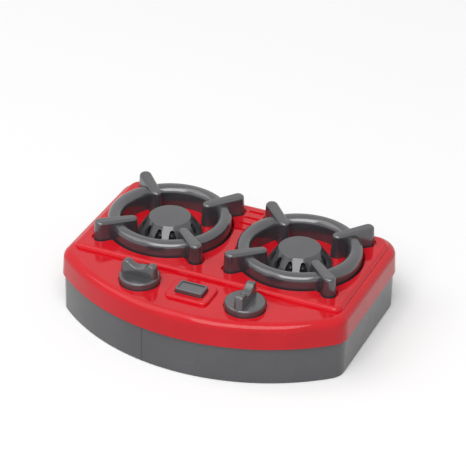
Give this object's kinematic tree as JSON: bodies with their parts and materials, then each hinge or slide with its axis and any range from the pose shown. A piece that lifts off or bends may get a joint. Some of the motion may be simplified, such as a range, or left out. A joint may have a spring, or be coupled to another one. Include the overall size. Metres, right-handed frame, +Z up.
{
  "type": "toy stove",
  "caption": "Toy table stove: a bow-fronted red shell on a grey tray, round pan supports with radial arms, windowed burner caps, turning knobs and a sprung press button.",
  "frame": {"origin": "on the table, under the middle of the casing's box", "axes": "+X to the right along the casing's long side seen from the front, +Y to the back, +Z up"},
  "size_m": [0.1382, 0.1022, 0.041],
  "materials": {
    "shell_red": "glossy moulded plastic",
    "tray_grey": "satin moulded plastic",
    "support_grey": "satin moulded plastic",
    "cap_grey": "glossy moulded plastic",
    "jet_grey": "glossy moulded plastic",
    "knob_grey": "glossy moulded plastic",
    "button_grey": "glossy moulded plastic",
    "wheel_white": "self-coloured moulded plastic",
    "screw_steel": "zinc-plated steel",
    "spring_steel": "bright spring steel"
  },
  "bodies": {
    "stove": {"base_tray": "tray_grey", "top_shell": "shell_red", "case_screws": "screw_steel", "left_pan_support": "support_grey", "left_burner_cap": "cap_grey", "left_jet_ring": "jet_grey", "left_pan_support_screws": "screw_steel", "left_burner_screw": "screw_steel", "left_click_spring": "spring_steel", "right_pan_support": "support_grey", "right_burner_cap": "cap_grey", "right_jet_ring": "jet_grey", "right_pan_support_screws": "screw_steel", "right_burner_screw": "screw_steel", "right_click_spring": "spring_steel", "button_spring": "spring_steel"},
    "left_knob": {"left_knob": "knob_grey", "left_click_wheel": "wheel_white", "left_knob_screw": "screw_steel"},
    "right_knob": {"right_knob": "knob_grey", "right_click_wheel": "wheel_white", "right_knob_screw": "screw_steel"},
    "button": {"ignition_button": "button_grey"}
  },
  "joints": [
    {"name": "left_knob_turn", "type": "hinge", "parent": "stove", "child": "left_knob", "pos_m": [-0.0254, -0.0315, 0.0302], "axis": [0, 0, 1], "continuous": true},
    {"name": "right_knob_turn", "type": "hinge", "parent": "stove", "child": "right_knob", "pos_m": [0.0254, -0.0315, 0.0302], "axis": [0, 0, 1], "continuous": true},
    {"name": "button_press", "type": "slide", "parent": "stove", "child": "button", "axis": [0, 0, -1], "range_m": [0, 0.002], "stiffness_N_per_m": 400, "springref_m": -0.002, "deforming": ["button_spring"]}
  ]
}
